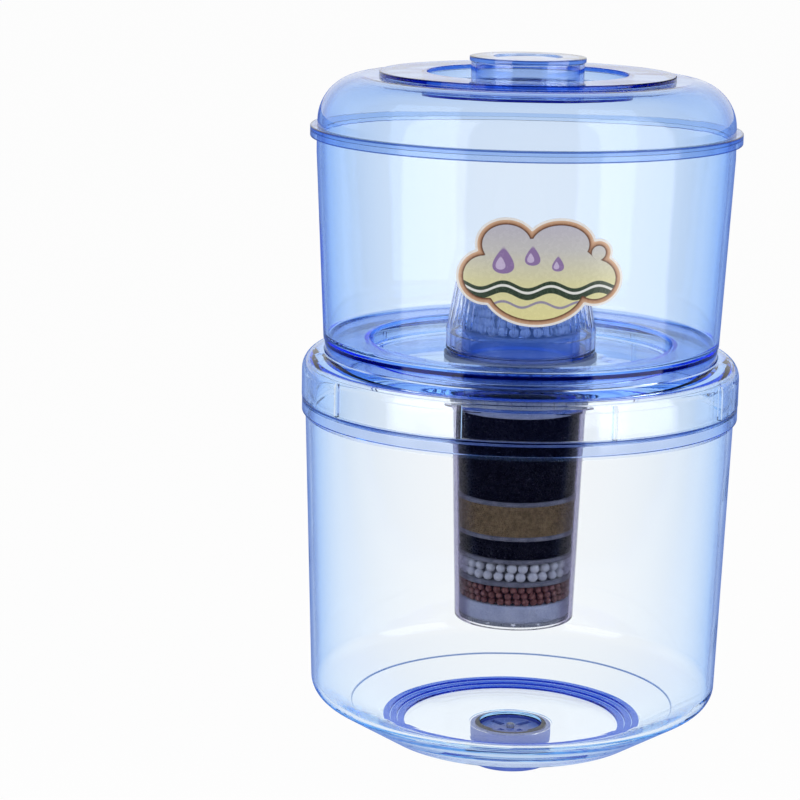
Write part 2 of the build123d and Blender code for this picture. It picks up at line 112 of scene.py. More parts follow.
class Signal:
    """An output socket. Sums of signals and numbers add Math nodes to the finish."""

    def __init__(self, finish, socket):
        self.finish = finish
        self.socket = socket

    def math(self, operation, *operands):
        return self.finish.add("ShaderNodeMath", {"operation": operation}, dict(enumerate(operands)))

    def __add__(self, other):
        return self.math("ADD", self, other)

    def __radd__(self, other):
        return self.math("ADD", other, self)

    def __sub__(self, other):
        return self.math("SUBTRACT", self, other)

    def __rsub__(self, other):
        return self.math("SUBTRACT", other, self)

    def __mul__(self, other):
        return self.math("MULTIPLY", self, other)

    def __rmul__(self, other):
        return self.math("MULTIPLY", other, self)

    def __truediv__(self, other):
        return self.math("DIVIDE", self, other)

    def __rtruediv__(self, other):
        return self.math("DIVIDE", other, self)

    def __pow__(self, other):
        return self.math("POWER", self, other)

    def __rpow__(self, other):
        return self.math("POWER", other, self)

    def below(self, other):
        return self.math("MINIMUM", self, other)

    def above(self, other):
        return self.math("MAXIMUM", self, other)


print("sums on sockets ready")

# %% [markdown]
# Nodes could be added and linked line by line, but a finish reads better as a list of what it is made of.
# So one method takes a node's type, its settings and the values or links of its sockets, and a few short
# ones stand for the nodes that nearly every finish has.

# %% Nodes by type


class Finish:
    """The nodes of one material or of the world."""

    def __init__(self, owner):
        owner.use_nodes = True
        self.owner = owner
        self.tree = owner.node_tree
        self.tree.nodes.clear()

    def add(self, kind, settings=None, sockets=None, output=0):
        """Add a node: its settings first, then the values or links of its sockets."""
        node = self.tree.nodes.new(kind)
        for name, value in (settings or {}).items():
            if name == "stops":
                self.set_stops(node.color_ramp, value)
            else:
                setattr(node, name, value)
        for name, value in (sockets or {}).items():
            if isinstance(value, Signal):
                self.tree.links.new(value.socket, node.inputs[name])
            else:
                node.inputs[name].default_value = value
        return Signal(self, node.outputs[output]) if node.outputs else node

    @staticmethod
    def set_stops(ramp, stops):
        """Give a colour ramp its (position, colour) stops."""
        while len(ramp.elements) < len(stops):
            ramp.elements.new(0.5)
        for element, (position, colour) in zip(ramp.elements, stops):
            element.position = position
            element.color = colour

    def mix(self, share, first, second):
        """Blend two colours."""
        return self.add("ShaderNodeMix", {"data_type": "RGBA"}, {0: share, 6: first, 7: second}, 2)

    def place(self):
        """Where a point of the surface is, in the frame's metres, whatever the pose."""
        return self.add("ShaderNodeTexCoord", output="Object")

    def noise(self, scale, detail=2.0):
        """Soft random variation from 0 to 1."""
        sockets = {"Vector": self.place(), "Scale": scale, "Detail": detail}
        return self.add("ShaderNodeTexNoise", sockets=sockets)

    def bump(self, height, strength, distance):
        """A surface normal from a height."""
        sockets = {"Height": height, "Strength": strength, "Distance": distance}
        return self.add("ShaderNodeBump", sockets=sockets)


def new_finish(name):
    """Start an empty material."""
    return Finish(bpy.data.materials.new(name))


def rgb(red, green, blue):
    """A colour from its three shares, opaque."""
    return (red, green, blue, 1.0)


print("nodes by type ready")

# %% [markdown]
# Most finishes need the same few masks: a smooth step, a range, the parts of a vector, and what kind of
# light asks. They could be written into each finish, but then the same sums stand in many places.

# %% Masks
EDGE_BLUR = 0.0006


def fade(value, start, end, low=0.0, high=1.0):
    """From low at start to high at end, smooth between."""
    return value.finish.add("ShaderNodeMapRange", {"interpolation_type": "SMOOTHSTEP"}, {
        "Value": value, "From Min": start, "From Max": end, "To Min": low, "To Max": high,
    })


def within(value, low, high, soft=EDGE_BLUR):
    """1 between two values, fading out beyond them."""
    return fade(value, low - soft, low) * fade(value, high, high + soft, 1.0, 0.0)


def split(finish, vector):
    """The three parts of a vector."""
    return [finish.add("ShaderNodeSeparateXYZ", sockets={0: vector}, output=part) for part in "XYZ"]


def length(first, second):
    """Length of a flat vector."""
    return (first * first + second * second) ** 0.5


def unsigned(value):
    """A value without its sign."""
    return value.math("ABSOLUTE", value)


def ray_kind(finish, kind):
    """1 for rays of one kind, such as those seen through plastic, and 0 for others."""
    return finish.add("ShaderNodeLightPath", output="Is %s Ray" % kind)


def bounced(finish, kind):
    """1 for light that was mirrored or scattered on its way, and 0 for light that came straight."""
    return finish.add("ShaderNodeLightPath", output="%s Depth" % kind).below(1.0)


print("masks ready, blur", EDGE_BLUR)

# %% [markdown]
# ## Camera
# The photograph was taken with a long lens from a little above, and tipped by a degree. One could match
# that by eye, but the numbers here come from fitting the circles of the tanks, so the render lies over the
# photograph.

# %% Camera
FOCAL_LENGTH, SENSOR_WIDTH = 124.57, 36.0
PAN, TILT, ROLL = (math.radians(angle) for angle in (2.514, 11.68, 1.019))
CAMERA_PLACE = (0.0, -1.6235, 0.5376)
lens = bpy.data.cameras.new("camera")
lens.lens = FOCAL_LENGTH
lens.sensor_width = SENSOR_WIDTH
camera = bpy.data.objects.new("camera", lens)
stage.collection.objects.link(camera)
camera.matrix_world = (
    Matrix.Translation(CAMERA_PLACE)
    @ Matrix.Rotation(PAN, 4, "Z")
    @ Matrix.Rotation(math.pi / 2 - TILT, 4, "X")
    @ Matrix.Rotation(ROLL, 4, "Z")
)
stage.camera = camera
stage.view_settings.view_transform = "Standard"
print("camera", tuple(round(v, 3) for v in camera.location))

# %% [markdown]
# ## Studio
# Clear plastic shows what stands around it, so the studio matters as much as the material. What is seen
# straight through the plastic is white paper on every side, under a darker ceiling. What the plastic
# mirrors is another thing: white paper behind the filter, a dark room in front of it, so that the carbon
# stays black, and two tall soft lamps left and right, whose reflections are the pale stripes down the tank.
# One could build the room, but the world can tell mirrored light from light that came straight through, by
# the count of its reflections.

# %% Mirrored room
SOFTBOXES = {"left_softbox": (-67.0, -33.0), "right_softbox": (42.0, 85.0)}
SOFTBOX_BLUR = 3.0
ROOM_BLUE = rgb(0.015, 0.02, 0.09)
DUSK_BLUE = rgb(0.22, 0.34, 0.78)
WHITE = rgb(1, 1, 1)


def room_colour(finish, level):
    """What plastic mirrors, from the dark room through dusk to the white backdrop."""
    stops = [(0.0, ROOM_BLUE), (0.5, DUSK_BLUE), (1.0, WHITE)]
    return finish.add("ShaderNodeValToRGB", {"stops": stops}, {"Fac": level})


def softbox_glint(side, depth):
    """1 towards the softboxes, which stand between two angles to the right of the front."""
    angle = side.math("ARCTAN2", side, 0 - depth) * math.degrees(1)
    return sum(within(angle, *edges, soft=SOFTBOX_BLUR) for edges in SOFTBOXES.values())


def shown_in_plastic(finish):
    """1 for what is seen in plastic or through it, and 0 for light that falls on a dull piece."""
    seen = ray_kind(finish, "Glossy").above(ray_kind(finish, "Transmission"))
    return seen * (1 - bounced(finish, "Diffuse"))


print("softboxes, in degrees to the right of the front", list(SOFTBOXES.values()))

# %% [markdown]
# The world joins these. The eye sees even white, the plastic sees the room, and the dull pieces get a
# weaker light from all round. A picture of a studio could light it as well, but a few masks do it without
# one. Clear plastic needs many bounces, because light that runs out of them inside a wall leaves it black.

# %% Backdrop
BACKDROP = 1.0
AMBIENT = 0.3
SOFTBOX_TOP = (0.68, 0.78)
PAPER_START = (-0.1, 0.3)
CEILING_START, CEILING_LEVEL = (0.3, 0.8), 0.25
LAMP_WHITE = rgb(3.6, 3.6, 3.6)
LIGHT_BOUNCES, SHADOW_LAYERS = 64, 32
studio = Finish(bpy.data.worlds.new("studio"))
stage.world = studio.owner
side, depth, rise = split(studio, studio.add("ShaderNodeTexCoord", output="Generated"))
mirrored = bounced(studio, "Glossy")
paper_behind = fade(depth, *PAPER_START).above(1 - mirrored)
surround = paper_behind * fade(rise, *CEILING_START, 1.0, CEILING_LEVEL)
glint = softbox_glint(side, depth) * fade(rise, *SOFTBOX_TOP, 1.0, 0.0) * mirrored
room = studio.mix(glint, room_colour(studio, surround), LAMP_WHITE)
shown = shown_in_plastic(studio)
sky = studio.add("ShaderNodeBackground", sockets={
    "Color": studio.mix(shown, WHITE, room),
    "Strength": ray_kind(studio, "Camera").above(shown).above(AMBIENT) * BACKDROP,
})
studio.add("ShaderNodeOutputWorld", sockets={"Surface": sky})
stage.cycles.max_bounces = LIGHT_BOUNCES
stage.cycles.transmission_bounces = LIGHT_BOUNCES
stage.cycles.glossy_bounces = LIGHT_BOUNCES
stage.cycles.transparent_max_bounces = SHADOW_LAYERS
print("backdrop", BACKDROP, "dark room", ROOM_BLUE)

# %% [markdown]
# The softboxes light the dull pieces inside the filter. The world alone could do that, but lamps at two
# sides give each ball a lit side and a shaded one. The world shows the softboxes already where the plastic
# mirrors them, so the lamps themselves are hidden there, and don't stand behind the plastic in views from
# the back.

# %% Lamps
LAMP_DISTANCE, LAMP_HEIGHT, LAMP_MIDDLE = 0.95, 1.24, 0.68
LAMP_POWER = 8.6


def softbox(name, start, end):
    """A tall soft lamp between two angles, in degrees to the right of the front."""
    lamp = bpy.data.lights.new(name, "AREA")
    lamp.shape = "RECTANGLE"
    lamp.size = 2 * LAMP_DISTANCE * math.tan(math.radians(end - start) / 2)
    lamp.size_y = LAMP_HEIGHT
    lamp.energy = LAMP_POWER * lamp.size
    box = bpy.data.objects.new(name, lamp)
    stage.collection.objects.link(box)
    turn = math.radians(start + end) / 2
    box.location = (LAMP_DISTANCE * math.sin(turn), -LAMP_DISTANCE * math.cos(turn), LAMP_MIDDLE)
    box.rotation_euler = (math.pi / 2, 0.0, turn)
    box.visible_camera = box.visible_glossy = box.visible_transmission = False
    return box


for name, edges in SOFTBOXES.items():
    lamp = softbox(name, *edges)
    print(name, "at", tuple(round(v, 3) for v in lamp.location))

# %% [markdown]
# The filter stands on white card that keeps its shadow. To the eye the card is as white as the backdrop,
# and it reaches past the picture. A plane that is white all over would be mirrored round the whole tank, so
# in the plastic the card ends a little in front of the filter, as a real sheet does.

# %% Floor
FLOOR_REACH = 40.0
FLOOR_CORNERS = ((-1, -1), (1, -1), (1, 1), (-1, 1))
CARD_WHITE, CARD_GLOW, CARD_MIRRORED = rgb(0.9, 0.9, 0.9), 0.97, 0.42
SHEET_FRONT, SHEET_TAPER, SHEET_START = 0.35, 0.6, (-0.1, 0.15)
SOFTBOX_FOOT = (1.1, 1.2)
floor_mesh = bpy.data.meshes.new("floor")
floor_points = [(x * FLOOR_REACH, y * FLOOR_REACH, cad_box[0].z) for x, y in FLOOR_CORNERS]
floor_mesh.from_pydata(floor_points, [], [(0, 1, 2, 3)])
floor = bpy.data.objects.new("floor", floor_mesh)
stage.collection.objects.link(floor)
floor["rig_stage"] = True
paper = new_finish("studio_floor")
side, depth, _ = split(paper, paper.place())
mirrored = bounced(paper, "Glossy")
sheet_end = fade(depth + SHEET_FRONT - SHEET_TAPER * unsigned(side), *SHEET_START)
card_share = (ray_kind(paper, "Glossy") * CARD_MIRRORED).above(ray_kind(paper, "Transmission"))
glint = softbox_glint(side, depth) * fade(length(side, depth), *SOFTBOX_FOOT) * mirrored
room = paper.mix(glint, room_colour(paper, card_share * sheet_end), LAMP_WHITE)
card = paper.add("ShaderNodeBsdfDiffuse", sockets={"Color": CARD_WHITE})
glow = paper.add("ShaderNodeEmission", sockets={"Color": WHITE, "Strength": BACKDROP})
in_plastic = paper.add("ShaderNodeEmission", sockets={
    "Color": paper.mix(mirrored, WHITE, room), "Strength": BACKDROP,
})
sheet = paper.add("ShaderNodeMixShader", sockets={0: ray_kind(paper, "Camera") * CARD_GLOW, 1: card, 2: glow})
ground = paper.add("ShaderNodeMixShader", sockets={0: shown_in_plastic(paper), 1: sheet, 2: in_plastic})
paper.add("ShaderNodeOutputMaterial", sockets={"Surface": ground})
floor_mesh.materials.append(paper.owner)
print("floor at", round(cad_box[0].z, 4))

# %% [markdown]
# ## Clear plastic
# Moulded clear plastic takes its colour from its depth: a wall seen face on is almost white, and seen along
# its length it is deep blue. Absorption in the volume gives that in the thick edges. A thin wall seen at a
# slant is longer to look through, which the surface's own tint adds. The rim, where one looks along the wall,
# gets a painted navy shade, and the corners and rings where light runs along inside the plastic get painted
# shade.

# %% Wall tint
# Painted shade in the zones: blue in their bands, navy in their lines.
BAND_BLUE = (0.68, 0.76, 0.94)
LINE_NAVY = (0.8, 0.84, 0.915)
# Painted shade at the rim: navy, where one looks along the wall.
RIM_SHADE_NAVY = (0.26, 0.22, 0.32)
RIM_SLANT = (0.74, 0.94)
EVEN_BLEND = 0.5
GRAZING, LONGEST_PATH = 1.03, 4.5
LEVEL_PATH_LOSS, LEVEL_ZONE_LOSS = 0.8, 0.5


def round_place(finish):
    """How far a point is from the filter's axis, and how high it is."""
    x, y, height = split(finish, finish.place())
    return length(x, y), height


def wall_tint(finish, slant_tint, bands, band_tint, lines, rim_slant):
    """What a wall lets through, with a painted dark rim and the painted shade of its zones of (radii,
    heights, depth), from how it is seen.
    """
    facing = finish.add("ShaderNodeLayerWeight", sockets={"Blend": EVEN_BLEND}, output="Facing")
    entering = 1 - finish.add("ShaderNodeNewGeometry", output="Backfacing")
    level = unsigned(split(finish, finish.add("ShaderNodeNewGeometry", output="Normal"))[2])
    upright_share = (1 - LEVEL_PATH_LOSS * level) * entering
    path = (1 / (GRAZING - facing) - 1 / GRAZING).below(LONGEST_PATH) * upright_share
    rim = fade(facing, *rim_slant) * upright_share
    radius, height = round_place(finish)
    band, line = (
        sum(within(radius, *radii) * within(height, *heights) * depth for radii, heights, depth in zones)
        * (1 - LEVEL_ZONE_LOSS * level) * entering for zones in (bands, lines)
    )
    tints = zip(("Red", "Green", "Blue"), slant_tint, RIM_SHADE_NAVY, band_tint, LINE_NAVY)
    return finish.add("ShaderNodeCombineColor", sockets={
        part: slant_share ** path * rim_share ** rim * band_share ** band * line_share ** line
        for part, slant_share, rim_share, band_share, line_share in tints
    })


print("wall tint ready, rim from", RIM_SLANT[0], "to", RIM_SLANT[1])

# %% [markdown]
# The tube of the head is cloudy, and more so below its grid than above. It could be a solid of its own with
# its own material, but it is one moulding with the clear flange, so a mask mixes cloudy plastic into the
# clear one.

# %% Milky tube
STEM_REACH, GRID_LEVEL = 0.0372, 0.2472
MILK_BLUE, MILK_ROUGHNESS = rgb(0.2, 0.42, 1.0), 0.3
MILK_EDGE = (GRID_LEVEL - 0.002, GRID_LEVEL + 0.001)
MILK_BELOW, MILK_ABOVE = 0.32, 0.14


def milk(finish):
    """The cloudy plastic in the tube of the head, and where it is: more of it below the grid than above."""
    radius, height = round_place(finish)
    share = fade(height, *MILK_EDGE, MILK_BELOW, MILK_ABOVE)
    cloud = finish.add("ShaderNodeBsdfPrincipled", sockets={
        "Base Color": MILK_BLUE, "Roughness": MILK_ROUGHNESS,
    })
    return within(radius, 0.0, STEM_REACH) * share, cloud


print("milky tube within", STEM_REACH, "of the axis")

# %% [markdown]
# The plastic joins these: the tinted surface, the volume, and soft waves in the normal, which are the flow
# of the moulding. The light of a lamp is stopped by a wall that bends it, and the pieces inside would be
# dark. So a shadow ray meets a pale see-through surface in place of the wall.

# %% Clear plastic
FLOW_SCALE, FLOW_DEPTH = 22.0, 0.004
POLISH = 0.015
SHADOW_BLUE = rgb(0.93, 0.95, 1.0)


def clear_plastic(
    name, slant_tint, depth_tint, density, ior=1.26, bands=(), band_tint=BAND_BLUE, lines=(), waves=0.1,
    rim_slant=RIM_SLANT, milky=False,
):
    """Clear moulded plastic: a tinted surface, a pale shadow, and depth that takes light up."""
    finish = new_finish(name)
    surface = finish.add("ShaderNodeBsdfPrincipled", sockets={
        "Base Color": wall_tint(finish, slant_tint, bands, band_tint, lines, rim_slant),
        "Roughness": POLISH, "IOR": ior, "Transmission Weight": 1.0,
        "Normal": finish.bump(finish.noise(FLOW_SCALE, 1.0), waves, FLOW_DEPTH),
    })
    if milky:
        share, cloud = milk(finish)
        surface = finish.add("ShaderNodeMixShader", sockets={0: share, 1: surface, 2: cloud})
    lit = finish.add("ShaderNodeBsdfTransparent", sockets={"Color": SHADOW_BLUE})
    surface = finish.add("ShaderNodeMixShader", sockets={0: ray_kind(finish, "Shadow"), 1: surface, 2: lit})
    volume = finish.add("ShaderNodeVolumeAbsorption", sockets={"Color": depth_tint, "Density": density})
    finish.add("ShaderNodeOutputMaterial", sockets={"Surface": surface, "Volume": volume})
    return finish.owner


def dress(material, *names):
    """Give solids of the frame their finish."""
    for name in names:
        solids[name].material_slots[0].material = material
    print(material.name, "on", ", ".join(names))


print("clear plastic ready, polish", POLISH)

# %% [markdown]
# The steps, rings and corners of the tanks and the lid are darker than their walls: painted shade, partly the
# deeper blue of thicker plastic, for light that runs along inside the plastic there. They are zones, each
# given by its radii and heights in metres and by how deep its painted shade is. A painted picture could show
# them too, but a zone is part of the wall and stays in its place from every side.

# %% Zones
RING_WIDTH, RING_GAP, RINGS_INNER, RING_COUNT = 0.0034, 0.001, 0.0656, 3
# The heights of the floor's rings, and how deep their painted shade is.
RING_HEIGHTS, RING_SHADE = (0.0025, 0.0075), 24.0
ring_starts = [RINGS_INNER + index * (RING_WIDTH + RING_GAP) for index in range(RING_COUNT)]
floor_rings = [((start, start + RING_WIDTH), RING_HEIGHTS, RING_SHADE) for start in ring_starts]
CREASE = ((0.0975, 0.0975), (0.005, 0.03), 14.0)
LEDGE_BAND = ((0.1292, 0.131), (0.1977, 0.206), 2.5)
LEDGE_LINE = ((0.1292, 0.131), (0.2054, 0.206), 20.0)
FLOOR_CORNER = ((0.113, 0.119), (0.239, 0.2407), 40.0)
FOOT_BAND = ((0.1, 0.119), (0.23, 0.2398), 3.6)
FLOOR_RING = ((0.0905, 0.117), (0.238, 0.2425), 3.4)
PLATE_LINE = ((0.0855, 0.089), (0.3985, 0.4), 22.0)
# Painted shadow under the edge of the lid's plate.
PLATE_SHADOW = ((0.0855, 0.089), (0.396, 0.398), 2.0)
SKIRT = ((0.1262, 0.128), (0.3605, 0.3672), 2.0)
SKIRT_FOOT = ((0.1262, 0.128), (0.3606, 0.361), 16.0)
SKIRT_TOP = ((0.1262, 0.128), (0.3665, 0.3671), 16.0)
KNOB_SIDE = ((0.032, 0.0345), (0.3915, 0.4076), 1.9)
KNOB_EDGE = ((0.031, 0.0345), (0.4079, 0.4086), 12.0)
NECK_BLOCK = ((0.0, 0.03), (-0.03, 0.03), 1.2)
print("rings in the tank's floor from", [round(start, 4) for start in ring_starts])

# %% [markdown]
# The tanks, the cover and the lid are one kind of plastic in several depths of blue: the lower tank is the
# palest, the lid and its knob the deepest. One blue for all would be simpler, but then the lid would be too
# pale or the tank too dark, so each shell has its own depth and only its own zones.

# %% Blue shells
SLANT_BLUE, KNOB_SLANT, NECK_SLANT = (0.7, 0.82, 0.99), (0.52, 0.66, 0.95), (0.45, 0.55, 0.85)
PALE_DEPTH = rgb(0.05, 0.65, 1.0)
DEEP_BLUE = rgb(0.04, 0.5, 1.0)
INDIGO = rgb(0.04, 0.42, 0.88)
NECK_BLUE = rgb(0.2, 0.3, 0.8)
pale_blue_plastic = clear_plastic(
    "pale_blue_plastic", SLANT_BLUE, PALE_DEPTH, 8.0,
    bands=[*floor_rings, LEDGE_BAND], lines=[CREASE, LEDGE_LINE],
)
cover_plastic = clear_plastic("cover_plastic", SLANT_BLUE, DEEP_BLUE, 24.0)
blue_plastic = clear_plastic(
    "blue_plastic", SLANT_BLUE, DEEP_BLUE, 58.0, bands=[FOOT_BAND, FLOOR_RING], lines=[FLOOR_CORNER]
)
lid_plastic = clear_plastic(
    "lid_plastic", SLANT_BLUE, INDIGO, 100.0,
    bands=[PLATE_SHADOW, SKIRT], lines=[PLATE_LINE, SKIRT_FOOT, SKIRT_TOP],
)
knob_plastic = clear_plastic(
    "knob_plastic", KNOB_SLANT, INDIGO, 28.0, ior=1.5, bands=[KNOB_SIDE], lines=[KNOB_EDGE]
)
neck_plastic = clear_plastic("neck_plastic", NECK_SLANT, NECK_BLUE, 140.0, bands=[NECK_BLOCK])
dress(pale_blue_plastic, "lower_tank")
dress(neck_plastic, "outlet_neck")
dress(cover_plastic, "tank_cover")
dress(blue_plastic, "upper_tank")
dress(lid_plastic, "lid_shell")
dress(knob_plastic, "lid_knob")

# %% [markdown]
# The cap over the head and the cartridge are nearly colourless, with a lilac cast. The tanks' blue could
# serve with less depth, but it would hide the media, so they have pale tints of their own. The tube of the
# head is a denser blue, and only its flange is pale. The cartridge's wall carries painted shade: its tint
# darkens it, and the media behind it, sooner towards its sides than the others, because on the real one the
# media lie right against it and no light comes through beside them.

# %% Head and cartridge plastic
LILAC = (0.88, 0.89, 0.96)
# Lilac, with painted shade that comes sooner towards the cartridge's sides.
SIDE_SHADED_LILAC = (0.72, 0.74, 0.86)
CAP_DEPTH, SHELL_DEPTH, HEAD_DEPTH = rgb(0.4, 0.42, 0.7), rgb(0.5, 0.52, 0.75), rgb(0.4, 0.5, 0.95)
# Where the cartridge's painted dark rim starts and ends.
SHELL_RIM = (0.32, 0.5)
TUBE_BLUE = (0.58, 0.74, 0.97)
TUBE_FOOT = ((0.0, STEM_REACH), (0.19, GRID_LEVEL - 0.001), 0.6)
TUBE = ((0.0, STEM_REACH), (GRID_LEVEL, 0.28), 0.5)
cap_plastic = clear_plastic("cap_plastic", LILAC, CAP_DEPTH, 25.0, ior=1.08)
shell_plastic = clear_plastic(
    "shell_plastic", SIDE_SHADED_LILAC, SHELL_DEPTH, 25.0, ior=1.14, waves=0.04, rim_slant=SHELL_RIM
)
head_plastic = clear_plastic(
    "head_plastic", LILAC, HEAD_DEPTH, 20.0, ior=1.2, bands=[TUBE, TUBE_FOOT], band_tint=TUBE_BLUE, milky=True
)
dress(cap_plastic, "inlet_cap")
dress(shell_plastic, "cartridge_shell")
dress(head_plastic, "head_stem")

# %% [markdown]
# ## Cloudy plastics and rubber
# The nut, the grids and the valve are cloudy plastic, the seals are milky silicone, the outlet is a denser
# blue. A scattering volume would be nearer to how they cloud, but these pieces are small, and a surface
# that lets part of the light through looks the same and renders clean.

# %% Cloudy plastics
CLOUD_SCALE, CLOUD_SHADE = 60.0, 0.82
GRAIN_SHARE, GRAIN_STRENGTH, GRAIN_DEPTH = 0.2, 0.2, 0.0003
CLOUDY_IOR = 1.46


def cloudy_plastic(name, colour, roughness, clearness, grain=900.0):
    """Plastic that lets some light through, with a fine moulded grain."""
    finish = new_finish(name)
    grains = finish.noise(grain, 3.0)
    clouds = finish.noise(CLOUD_SCALE, 2.0)
    darker = rgb(*(share * CLOUD_SHADE for share in colour[:3]))
    body = finish.add("ShaderNodeBsdfPrincipled", sockets={
        "Base Color": finish.mix(clouds, darker, colour),
        "Roughness": roughness + (grains - 0.5) * GRAIN_SHARE,
        "IOR": CLOUDY_IOR, "Transmission Weight": clearness,
        "Normal": finish.bump(grains, GRAIN_STRENGTH, GRAIN_DEPTH),
    })
    finish.add("ShaderNodeOutputMaterial", sockets={"Surface": body})
    return finish.owner


white_plastic = cloudy_plastic("white_plastic", rgb(0.8, 0.83, 0.95), 0.3, 0.7)
silicone = cloudy_plastic("silicone", rgb(0.78, 0.8, 0.9), 0.45, 0.35, grain=500.0)
outlet_plastic = cloudy_plastic("outlet_plastic", rgb(0.17, 0.27, 0.9), 0.25, 0.2)
dress(white_plastic, "lock_nut", "nut_washer", "inlet_grid", "outlet_grid", "valve_disc")
dress(silicone, "head_gasket", "shell_o_ring", "outlet_seal", "valve_washer")
dress(outlet_plastic, "outlet_cap", "valve_cage")

# %% [markdown]
# ## Plaque
# The plaque is a printed film in the shape of a cloud. Its border follows that shape, so a finish needs the
# distance to the edge: the cloud is a few ovals and a core that run into each other, and the nearest of
# them gives it. The film could carry a painted picture, but sums on its own coordinates stay sharp at every
# size.

# %% Outline of the plaque
low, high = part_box("front_label")
plaque_middle = (low + high) / 2
half_plaque = (high - low) / 2
MILLIMETRE = 0.001
half_width, half_height = half_plaque.x / MILLIMETRE, half_plaque.z / MILLIMETRE
LOBES = (
    (-0.40, 0.50, 0.38, 0.50),
    (0.24, 0.51, 0.43, 0.49),
    (-0.65, -0.10, 0.35, 0.52),
    (0.67, -0.13, 0.33, 0.49),
    (0.70, 0.36, 0.17, 0.26),
    (-0.04, -0.30, 0.65, 0.70),
)
CORE = (0.0, 0.0, 0.8, 0.76)
LOBE_BLEND = 2.0
TINY = 0.0001
plaque = new_finish("plaque")
place_x, _, place_z = split(plaque, plaque.place())
across = (place_x - plaque_middle.x) / MILLIMETRE
up = (place_z - plaque_middle.z) / MILLIMETRE


def oval_distance(centre_x, centre_z, wide, tall):
    """Millimetres outside an oval, less than 0 inside it. Its numbers are shares of the half sizes."""
    reach_x, reach_z = wide * half_width, tall * half_height
    share_x = (across - centre_x * half_width) / reach_x
    share_z = (up - centre_z * half_height) / reach_z
    share = length(share_x, share_z)
    return share * (share - 1) / (length(share_x / reach_x, share_z / reach_z) + TINY)


outside = oval_distance(*LOBES[0])
for lobe in LOBES[1:]:
    outside = outside.math("SMOOTH_MIN", outside, oval_distance(*lobe), LOBE_BLEND)
inset = 0 - outside.below(oval_distance(*CORE))
print("plaque", tuple(round(v, 4) for v in plaque_middle))

# %% [markdown]
# The print on it is plain drops over two waves. They could be small meshes on the film, but ink has no
# thickness. So each figure is a mask: a drop from the curve of its side, a line from the distance to its
# middle.

# %% Figures on the plaque
DROP_WIDEST, DROP_BLUR = 1.6875, 0.12
LINE_BLUR = 0.4


def drop(centre_x, centre_z, wide, tall):
    """1 inside a water drop with its tip up."""
    sideways = (across - centre_x) / wide
    along = (up - centre_z) / tall
    reach = (1 - along) ** 3 * (1 + along) / DROP_WIDEST
    inside = (along * along).math("LESS_THAN", along * along, 1.0)
    return fade(reach - sideways * sideways, 0.0, DROP_BLUR) * inside


def stroke(distance, half_line):
    """1 on a line, from the distance to its middle."""
    return fade(unsigned(distance), half_line, half_line + LINE_BLUR, 1.0, 0.0)


def swell(level, height, turns, start):
    """Millimetres above a wavy line."""
    angle = across * turns + start
    return up - level - height * angle.math("SINE", angle)


print("drops and waves ready, blur", LINE_BLUR)

# %% [markdown]
# The field goes from yellow at its foot to lilac at its top. The figures could each have a material, but
# inks are laid one over the other, so each is mixed over what is there: the waves first, then the drops
# with their shine.

# %% Picture on the plaque
DROPS = ((-20.0, 8.0, 6.2, 9.0), (-4.0, 10.5, 4.4, 6.6), (10.0, 6.0, 3.4, 5.2))
SHINE_SHIFT, SHINE_WIDTH, SHINE_HEIGHT = 0.25, 0.45, 0.5
FIELD = [
    (0.0, rgb(0.85, 0.79, 0.36)), (0.4, rgb(0.77, 0.74, 0.43)),
    (0.7, rgb(0.62, 0.61, 0.6)), (1.0, rgb(0.53, 0.51, 0.63)),
]
GREEN_WAVE, GREEN_HALF = (-10.0, 2.0, 0.24, 0.0), 3.2
LILAC_WAVE, LILAC_HALF = (-18.0, 1.6, 0.3, 1.2), 0.5
CREST_LIFT, CREST_HALF = 0.6, 0.5
LILAC_INK, GREEN_INK = rgb(0.33, 0.3, 0.42), rgb(0.045, 0.07, 0.045)
WHITE_INK = rgb(0.85, 0.86, 0.82)
DROP_INK, DROP_SHINE = rgb(0.3, 0.2, 0.42), rgb(0.62, 0.52, 0.74)
field_share = (place_z - low.z) / (high.z - low.z)
field = plaque.add("ShaderNodeValToRGB", {"stops": FIELD}, {"Fac": field_share})
wave = swell(*GREEN_WAVE)
picture = plaque.mix(stroke(swell(*LILAC_WAVE), LILAC_HALF), field, LILAC_INK)
picture = plaque.mix(stroke(wave, GREEN_HALF), picture, GREEN_INK)
picture = plaque.mix(stroke(wave - CREST_LIFT, CREST_HALF), picture, WHITE_INK)
for centre_x, centre_z, wide, tall in DROPS:
    shine_x, shine_z = centre_x - SHINE_SHIFT * wide, centre_z - SHINE_SHIFT * tall
    inside_drop = drop(centre_x, centre_z, wide, tall)
    shine = drop(shine_x, shine_z, SHINE_WIDTH * wide, SHINE_HEIGHT * tall)
    picture = plaque.mix(inside_drop, picture, DROP_INK)
    picture = plaque.mix(shine * inside_drop, picture, DROP_SHINE)
print("picture with", len(DROPS), "drops")

# %% [markdown]
# The film has a die-cut white edge and a copper border round the picture, both from the distance to its
# outline. Strips of their own could be laid there, but on the real one they are print too. The field stands
# a little higher than the edge, and the glued side is plain white.

